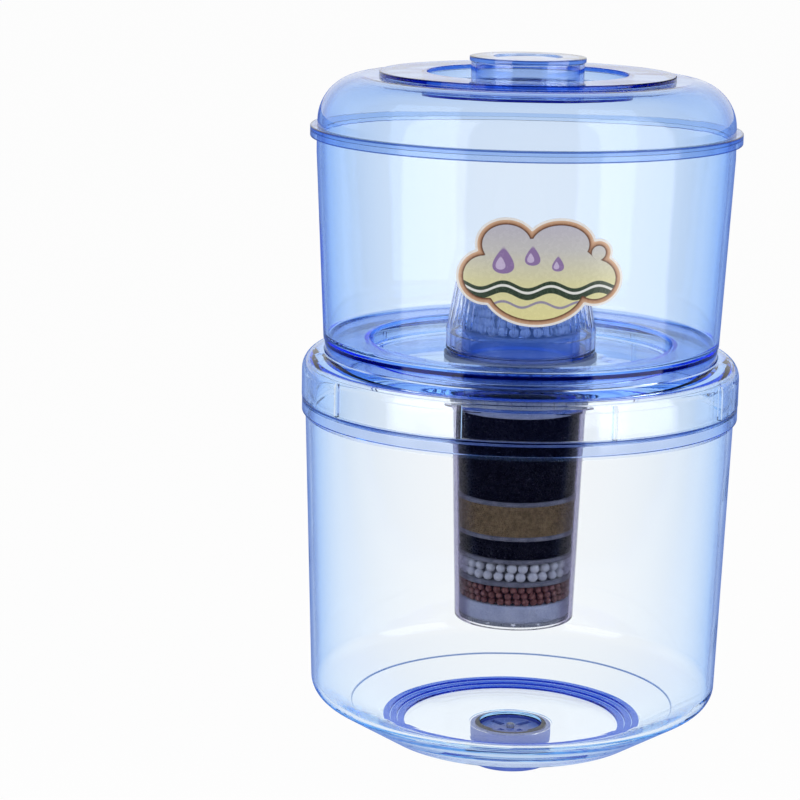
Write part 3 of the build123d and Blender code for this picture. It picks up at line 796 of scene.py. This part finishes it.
# %% Printed film
WHITE_EDGE, COPPER_EDGE, COPPER_START, COPPER_WIDTH = (1.2, 1.5), (3.8, 4.2), 1.4, 2.6
BORDER_STEP, GLUED_SIDE = (1.3, 3.0), (0.0, 0.2)
FILM_WHITE = rgb(0.9, 0.88, 0.86)
COPPER = [
    (0.0, rgb(0.72, 0.47, 0.31)), (0.55, rgb(0.5, 0.28, 0.17)),
    (0.8, rgb(0.2, 0.09, 0.05)), (1.0, rgb(0.08, 0.03, 0.02)),
]
FILM_GRAIN, FILM_GRAIN_HEIGHT = 900.0, 0.05
FILM_ROUGHNESS, SMEAR_SCALE, SMEAR_ROUGHNESS = 0.22, 400.0, 0.1
EMBOSS_STRENGTH, EMBOSS_DEPTH = 0.3, 0.0003
copper_share = (inset - COPPER_START) / COPPER_WIDTH
copper = plaque.add("ShaderNodeValToRGB", {"stops": COPPER}, {"Fac": copper_share})
framed = plaque.mix(fade(inset, *COPPER_EDGE), copper, picture)
ink = plaque.mix(fade(inset, *WHITE_EDGE), FILM_WHITE, framed)
towards_tank = split(plaque, plaque.add("ShaderNodeNewGeometry", output="Normal"))[1]
ink = plaque.mix(fade(towards_tank, *GLUED_SIDE), ink, FILM_WHITE)
emboss = fade(inset, *BORDER_STEP) + plaque.noise(FILM_GRAIN) * FILM_GRAIN_HEIGHT
film = plaque.add("ShaderNodeBsdfPrincipled", sockets={
    "Base Color": ink,
    "Roughness": FILM_ROUGHNESS + plaque.noise(SMEAR_SCALE) * SMEAR_ROUGHNESS,
    "Normal": plaque.bump(emboss, EMBOSS_STRENGTH, EMBOSS_DEPTH),
})
plaque.add("ShaderNodeOutputMaterial", sockets={"Surface": film})
dress(plaque.owner, "front_label")

# %% [markdown]
# ## Shapes in code
# Beds of balls and granules are hundreds of small shapes. Each could be an object of its own, but one mesh
# with many copies moves and exports as one piece, so a helper copies a small pattern to every place in a
# list.

# %% Copies of a pattern


def round_spot(reach, angle, height):
    """A place at a distance and an angle from the filter's axis."""
    return Vector((reach * math.cos(angle), reach * math.sin(angle), height))


def round_pattern(subdivisions):
    """Points and faces of a ball of radius 1."""
    shape = bmesh.new()
    bmesh.ops.create_icosphere(shape, subdivisions=subdivisions, radius=1.0)
    points = [corner.co.copy() for corner in shape.verts]
    faces = [[corner.index for corner in face.verts] for face in shape.faces]
    shape.free()
    return points, faces


def join(shapes):
    """Several shapes as one list of points and one of faces."""
    points, faces = [], []
    for shape_points, shape_faces in shapes:
        first = len(points)
        points += shape_points
        faces += [[first + corner for corner in face] for face in shape_faces]
    return points, faces


def copies(patterns, placements):
    """Patterns copied to places as one shape, each place with one of the patterns in turn."""
    return join(
        ([placement @ point for point in points], faces)
        for placement, (points, faces) in zip(placements, itertools.cycle(patterns))
    )


print("faces of a pebble", len(round_pattern(1)[1]))

# %% [markdown]
# A piece that is made here stands in the place of a solid: it rides on that solid's body and hides it. Its
# sizes could be written down once more, but then they might not fit, so a bed's levels and radii are read
# from its solid.

# %% Pieces and beds
SAME_LEVEL = 1e-6


def add_piece(name, points, faces, material, body, slot, stands_for, smooth=True):
    """One mesh that rides on a body and stands for solids of the frame."""
    mesh = bpy.data.meshes.new(name)
    mesh.from_pydata(points, [], faces)
    mesh.materials.append(material)
    mesh.polygons.foreach_set("use_smooth", [smooth] * len(mesh.polygons))
    mesh.update()
    piece = bpy.data.objects.new(name, mesh)
    stage.collection.objects.link(piece)
    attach(piece, body)
    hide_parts(*stands_for)
    print(name, "faces", len(faces))
    return piece


class Bed:
    """The space of one bed: its levels and its radius at each, read from its solid."""

    def __init__(self, name):
        corners = [corner.co for corner in solids[name].data.vertices]
        self.low = min(corner.z for corner in corners)
        self.high = max(corner.z for corner in corners)
        self.low_radius = self.reach(corners, self.low)
        self.high_radius = self.reach(corners, self.high)
        self.body = solids[name]["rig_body"]

    @staticmethod
    def reach(corners, level):
        """How far the solid's corners at one level are from the axis."""
        return max(math.hypot(corner.x, corner.y) for corner in corners if abs(corner.z - level) < SAME_LEVEL)

    def radius(self, height):
        """The bed's radius at a height between its levels."""
        share = (height - self.low) / (self.high - self.low)
        return self.low_radius + share * (self.high_radius - self.low_radius)


print("bed of white balls", round(Bed("white_ball_bed").low_radius, 4))

# %% [markdown]
# ## Balls
# The mineral balls lie in level rings, each layer nested in the one below. A physics simulation could drop
# them, but rings with a little unevenness look as poured and come out alike each time. Only balls near the
# wall or on top show, so the core is left empty.

# %% Balls
BALL_SPACING, RING_STEP = 1.06, 0.93
WALL_RINGS, ALL_RINGS = 2, 99
BALL_SHIFT, BALL_INSET, BALL_LIFT, SMALLEST_BALL = 0.06, 0.08, 0.05, 0.9


def ball_places(bed, diameter, layers, chance, full_top):
    """Matrices of balls in nested rings along the wall of a bed, with its top full or only its wall."""
    radius = diameter / 2
    rise = (bed.high - bed.low - diameter) / (layers - 1)
    for layer in range(layers):
        height = bed.low + radius + layer * rise
        ring = bed.radius(height) - radius
        rings = ALL_RINGS if full_top and layer == layers - 1 else WALL_RINGS
        while rings and ring > radius / 2:
            count = int(2 * math.pi * ring / (diameter * BALL_SPACING))
            start = chance.random()
            for index in range(count):
                angle = 2 * math.pi * (index + start + chance.uniform(-BALL_SHIFT, BALL_SHIFT)) / count
                reach = ring - chance.uniform(0.0, BALL_INSET) * diameter
                inner_layer = 0 < layer < layers - 1
                lift = chance.uniform(-BALL_LIFT, BALL_LIFT) * diameter if inner_layer else 0.0
                size = radius * chance.uniform(SMALLEST_BALL, 1.0)
                yield Matrix.Translation(round_spot(reach, angle, height + lift)) @ Matrix.Scale(size, 4)
            ring -= diameter * RING_STEP
            rings -= 1


print("balls", BALL_SPACING, "diameters apart")

# %% [markdown]
# The balls are fired mineral, dull, slightly uneven in colour and full of pores. Pores could be cut into
# each ball, but they are finer than anything seen at arm's length, so a bump shows them.

# %% Ceramic balls
PATCH_SCALE, PATCH_EDGE = 260.0, (0.3, 0.75)
PORE_SCALE, PORE_STRENGTH, PORE_DEPTH = 2600.0, 0.5, 0.0003


def ceramic(name, colour, speck, roughness):
    """Fired mineral: a dull, slightly uneven colour with pores."""
    finish = new_finish(name)
    patches = finish.noise(PATCH_SCALE, 3.0)
    pores = finish.noise(PORE_SCALE, 2.0)
    body = finish.add("ShaderNodeBsdfPrincipled", sockets={
        "Base Color": finish.mix(fade(patches, *PATCH_EDGE), colour, speck), "Roughness": roughness,
        "Normal": finish.bump(pores, PORE_STRENGTH, PORE_DEPTH),
    })
    finish.add("ShaderNodeOutputMaterial", sockets={"Surface": body})
    return finish.owner


white_ceramic = ceramic("white_ceramic", rgb(0.58, 0.59, 0.66), rgb(0.72, 0.73, 0.78), 0.55)
# The inlet balls are the same white balls, but their colour is a lighter, bluer copy: painted light, for the
# lamp light that the walls round the head hold back.
lit_inlet_ceramic = ceramic("lit_inlet_ceramic", rgb(0.78, 0.84, 0.94), rgb(0.84, 0.88, 0.95), 0.55)
red_ceramic = ceramic("red_ceramic", rgb(0.16, 0.055, 0.05), rgb(0.24, 0.1, 0.085), 0.5)
ball = round_pattern(3)
for name, diameter, layers, material, slot, full_top in (
    ("white_ball_bed", 0.0062, 2, white_ceramic, "white_balls", False),
    ("red_ball_bed", 0.0046, 3, red_ceramic, "red_balls", False),
    ("inlet_balls", 0.0062, 5, lit_inlet_ceramic, "white_balls", True),
):
    bed = Bed(name)
    places = ball_places(bed, diameter, layers, random.Random(name), full_top)
    add_piece(name + ".balls", *copies([ball], places), material, bed.body, slot, [name])

# %% [markdown]
# ## Granules
# Activated carbon and zeolite are broken grains. A bumpy cylinder would look like them face on, but its
# edges would be smooth. So each grain is a rough pebble with a few flat faces, turned and stretched by
# chance, and they lie in uneven rows against the wall.

# %% Broken grains
PEBBLE_SIZES, PEBBLE_KINDS = (0.75, 1.15), 8
ROW_STEP, GRAIN_STEP, ROW_SHIFT = 0.78, 0.86, 0.5
GRAIN_SHIFT, GRAIN_INSET, GRAIN_LIFT, GRAIN_STRETCH = 0.3, 0.35, 0.25, 0.75


def pebbles(chance):
    """A few broken pebble patterns of radius about 1."""
    points, faces = round_pattern(1)
    return [
        ([point * chance.uniform(*PEBBLE_SIZES) for point in points], faces) for _ in range(PEBBLE_KINDS)
    ]


def granule_places(bed, size, chance):
    """Matrices of grains in uneven rows along the wall of a bed."""
    half = size / 2
    rows = int((bed.high - bed.low) / (size * ROW_STEP))
    for row in range(rows):
        height = bed.low + half + (bed.high - bed.low - size) * row / (rows - 1)
        ring = bed.radius(height) - half * PEBBLE_SIZES[1]
        count = int(2 * math.pi * ring / (size * GRAIN_STEP))
        for index in range(count):
            shift = row * ROW_SHIFT + chance.uniform(-GRAIN_SHIFT, GRAIN_SHIFT)
            angle = 2 * math.pi * (index + shift) / count
            reach = ring - chance.uniform(0.0, GRAIN_INSET) * size
            lift = chance.uniform(-GRAIN_LIFT, GRAIN_LIFT) * size if 0 < row < rows - 1 else 0.0
            place = Matrix.Translation(round_spot(reach, angle, height + lift))
            turn_angle = chance.uniform(0, 2 * math.pi)
            turn_axis = Vector((chance.gauss(0, 1), chance.gauss(0, 1), 1))
            stretch = [half * chance.uniform(GRAIN_STRETCH, 1.0) for _ in range(3)]
            yield place @ Matrix.Rotation(turn_angle, 4, turn_axis) @ Matrix.Diagonal((*stretch, 1.0))


print("kinds of pebble", PEBBLE_KINDS)

# %% [markdown]
# Behind the grains is a plain core, so that no light comes through between them. Grains all the way through
# would do it too, but nobody sees them. The core is a turned shape, and so are the pads further down.

# %% Turned shapes


def turned_shape(profile, segments=96):
    """Points and faces of a closed turned shape, from (radius, height) corners with both ends on the axis."""
    points = [Vector((0, 0, profile[0][1]))]
    for radius, height in profile[1:-1]:
        points += [round_spot(radius, 2 * math.pi * index / segments, height) for index in range(segments)]
    points.append(Vector((0, 0, profile[-1][1])))
    top = len(points) - 1
    last = top - segments
    faces = []
    for index in range(segments):
        after = (index + 1) % segments
        faces.append([0, 1 + after, 1 + index])
        faces.append([top, last + index, last + after])
        for ring in range(len(profile) - 3):
            start = 1 + ring * segments
            faces.append([start + index, start + after, start + segments + after, start + segments + index])
    return points, faces


print("faces of a plain disc", len(turned_shape([(0, 0), (1, 0), (1, 1), (0, 1)])[1]))

# %% [markdown]
# Carbon is nearly black and dull, zeolite is tan. One colour would make a bed look like a solid block, so
# soft noise makes some grains lighter than others, and a fine bump is the dust on them.

# %% Granules
SKIN_SHARE = 0.9
SHADE_SCALE, DARK_SHADE, LIGHT_SHADE = 420.0, 0.35, 0.65
DUST_SCALE, DUST_STRENGTH, DUST_DEPTH = 3000.0, 0.4, 0.0003
DULL_GLOSS = 0.12


def grain_finish(name, colours, roughness):
    """Broken grain: each grain a little lighter or darker."""
    finish = new_finish(name)
    shade = finish.noise(SHADE_SCALE, 1.0)
    dust = finish.noise(DUST_SCALE, 2.0)
    stops = list(zip((DARK_SHADE, LIGHT_SHADE), colours))
    grain = finish.add("ShaderNodeValToRGB", {"stops": stops}, {"Fac": shade})
    body = finish.add("ShaderNodeBsdfPrincipled", sockets={
        "Base Color": grain, "Roughness": roughness, "Specular IOR Level": DULL_GLOSS,
        "Normal": finish.bump(dust, DUST_STRENGTH, DUST_DEPTH),
    })
    finish.add("ShaderNodeOutputMaterial", sockets={"Surface": body})
    return finish.owner


carbon = grain_finish("carbon", (rgb(0.002, 0.002, 0.005), rgb(0.012, 0.012, 0.02)), 0.6)
zeolite = grain_finish("zeolite", (rgb(0.22, 0.15, 0.078), rgb(0.38, 0.27, 0.15)), 0.7)
for name, size, material, slot in (
    ("carbon_bed_upper", 0.0024, carbon, "carbon"),
    ("carbon_bed_lower", 0.0024, carbon, "carbon"),
    ("zeolite_bed", 0.0015, zeolite, "zeolite"),
):
    bed = Bed(name)
    chance = random.Random(name)
    skin = SKIN_SHARE * size
    foot, top = (bed.low_radius - skin, bed.low), (bed.high_radius - skin, bed.high)
    core = turned_shape([(0, bed.low), foot, top, (0, bed.high)])
    grains = copies(pebbles(chance), granule_places(bed, size, chance))
    add_piece(name + ".grains", *join([core, grains]), material, bed.body, slot, [name], smooth=False)

# %% [markdown]
# ## Felt and sponge
# Felt discs part the beds, and a sponge lies at the bottom. Single fibres could be made as hair, but a disc
# has thousands and they lie flat, so mottled colour, a rough nap and a little sheen stand for them.

# %% Fibre
NAP_EDGE, NAP_STRENGTH, MOTTLE_SIZE = (0.35, 0.65), 0.7, 8
FIBRE_ROUGHNESS, SHEEN, SHEEN_ROUGHNESS = 0.9, 0.3, 0.5


def fibre_finish(name, colours, scale, depth):
    """Matted fibre or open foam: mottled colour and a rough nap."""
    finish = new_finish(name)
    nap = finish.noise(scale, 4.0)
    mottle = finish.noise(scale / MOTTLE_SIZE, 2.0)
    body = finish.add("ShaderNodeBsdfPrincipled", sockets={
        "Base Color": finish.mix(fade(mottle * 0.5 + nap * 0.5, *NAP_EDGE), *colours),
        "Roughness": FIBRE_ROUGHNESS, "Sheen Weight": SHEEN, "Sheen Roughness": SHEEN_ROUGHNESS,
        "Normal": finish.bump(nap, NAP_STRENGTH, depth),
    })
    finish.add("ShaderNodeOutputMaterial", sockets={"Surface": body})
    return finish.owner


felt = fibre_finish("felt", (rgb(0.13, 0.13, 0.17), rgb(0.26, 0.26, 0.32)), 1400.0, 0.0006)
sponge = fibre_finish("sponge", (rgb(0.44, 0.48, 0.66), rgb(0.58, 0.62, 0.78)), 900.0, 0.0008)
pale_felt = fibre_finish("pale_felt", (rgb(0.42, 0.45, 0.62), rgb(0.6, 0.63, 0.78)), 1400.0, 0.0006)
print("fibre on", felt.name, sponge.name, pale_felt.name)

# %% [markdown]
# The edges of the pads bulge a little where the wall squeezes them. A cloth simulation could press them,
# but between stiff walls it ends in nearly the same round edge, so a turned profile with a bulge and a
# little unevenness stands for it.

# %% Felt and sponge
FLAT_MIDDLE, FLAT_EDGE = 0.5, 0.94
BULGE, BULGE_STEPS, UNEVEN = 0.0008, 6, 0.006
ROUND_START, RISE_START = 0.08, 0.02
PAD_SEGMENTS, PAD_FILL = 128, 0.9


def drawn_in(share, start):
    """A share from 0 to 1, drawn in to run from start to 1 - start."""
    return start + (1 - 2 * start) * share


def pad_profile(bed):
    """Corners of a pad: flat below and above, with a round edge between."""
    low_radius, high_radius = bed.low_radius, bed.high_radius
    profile = [(0, bed.low), (low_radius * FLAT_MIDDLE, bed.low), (low_radius * FLAT_EDGE, bed.low)]
    for step in range(BULGE_STEPS + 1):
        share = step / BULGE_STEPS
        roundness = math.sin(math.pi * drawn_in(share, ROUND_START)) ** 0.5
        height = bed.low + (bed.high - bed.low) * drawn_in(share, RISE_START)
        profile.append((bed.radius(height) - BULGE * (1 - roundness), height))
    profile += [(high_radius * FLAT_EDGE, bed.high), (high_radius * FLAT_MIDDLE, bed.high), (0, bed.high)]
    return profile


def soft_disc(name, material, slot):
    """A pad with a bulging, slightly uneven edge, in the space of its solid."""
    bed = Bed(name)
    chance = random.Random(name)
    points, faces = turned_shape(pad_profile(bed), PAD_SEGMENTS)
    for point in points:
        inward = 1 - chance.uniform(0.0, UNEVEN)
        point.x *= inward
        point.y *= inward
    pad = add_piece(name + ".pad", points, faces, material, bed.body, slot, [name])


for name in ("separator_1", "separator_2", "separator_3", "separator_4"):
    soft_disc(name, felt, "felt")
soft_disc("top_pad", pale_felt, "felt")
soft_disc("bottom_pad", sponge, "sponge")

# %% [markdown]
# ## Valve spring
# The spring is one wire wound in a coil. A curve with a bevel could make it, but its ends would need caps,
# so rings of points are laid along the coil and joined.

# %% Coil
low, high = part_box("valve_spring")
WIRE = 0.00045
TURNS, TURN_STEPS, WIRE_SIDES = 4, 48, 10
coil_radius = high.x - WIRE
coil_low, coil_high = low.z + WIRE, high.z - WIRE


def wire_ring(share):
    """Points round the wire at a share of the coil's length."""
    angle = 2 * math.pi * TURNS * share
    outward = Vector((math.cos(angle), math.sin(angle), 0))
    middle = outward * coil_radius + Vector((0, 0, coil_low + share * (coil_high - coil_low)))
    for side in range(WIRE_SIDES):
        turn = 2 * math.pi * side / WIRE_SIDES
        yield middle + WIRE * (math.cos(turn) * outward + math.sin(turn) * Vector((0, 0, 1)))


def coil():
    """Points and faces of the whole wire, closed at both ends."""
    steps = TURNS * TURN_STEPS
    points = [point for step in range(steps + 1) for point in wire_ring(step / steps)]
    faces = [list(range(WIRE_SIDES))[::-1], list(range(steps * WIRE_SIDES, (steps + 1) * WIRE_SIDES))]
    for start in range(0, steps * WIRE_SIDES, WIRE_SIDES):
        for side in range(WIRE_SIDES):
            after = (side + 1) % WIRE_SIDES
            faces.append([start + side, start + after, start + WIRE_SIDES + after, start + WIRE_SIDES + side])
    return points, faces


print("coil of", TURNS, "turns, radius", round(coil_radius, 4))

# %% [markdown]
# The spring shortens when the valve is pushed up. The solid can't, so the wire stands for it. Here the wire
# gets a mesh of its own, and the share of its length that it keeps when the valve is pushed all the way is
# worked out from the joint.

# %% Valve spring
STEEL_GREY, STEEL_ROUGHNESS = rgb(0.62, 0.63, 0.66), 0.22
DRAWN_SCALE, DRAWN_ROUGHNESS = 1500.0, 0.16
steel = new_finish("spring_steel")
drawn = steel.noise(DRAWN_SCALE, 2.0)
wire = steel.add("ShaderNodeBsdfPrincipled", sockets={
    "Base Color": STEEL_GREY, "Metallic": 1.0, "Roughness": STEEL_ROUGHNESS + drawn * DRAWN_ROUGHNESS,
})
steel.add("ShaderNodeOutputMaterial", sockets={"Surface": wire})
spring = add_piece(
    "valve_spring.wire", *coil(), steel.owner, "lower_tank_unit", "spring_steel", ["valve_spring"]
)
push = next(joint for joint in frame["joints"] if joint["name"] == "valve_push")
seat = push["deforming_nodes"][0]["fixed_end_z_m"]
spring_length = seat - low.z
keep = 1 - push["range_m"][1] / spring_length
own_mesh(spring)
print("spring keeps", round(keep, 3), "of its length")

# %% [markdown]
# ## Sizes
# The finishes must not make the filter bigger than its solids, so both boxes are gathered, and the visual one
# is printed.

# %% Sizes
boxes = {"cad": cad_box, "visual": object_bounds()}
{kind: [list(corner) for corner in box] for kind, box in boxes.items()}
print("visual box", [tuple(round(v, 4) for v in corner) for corner in boxes["visual"]])
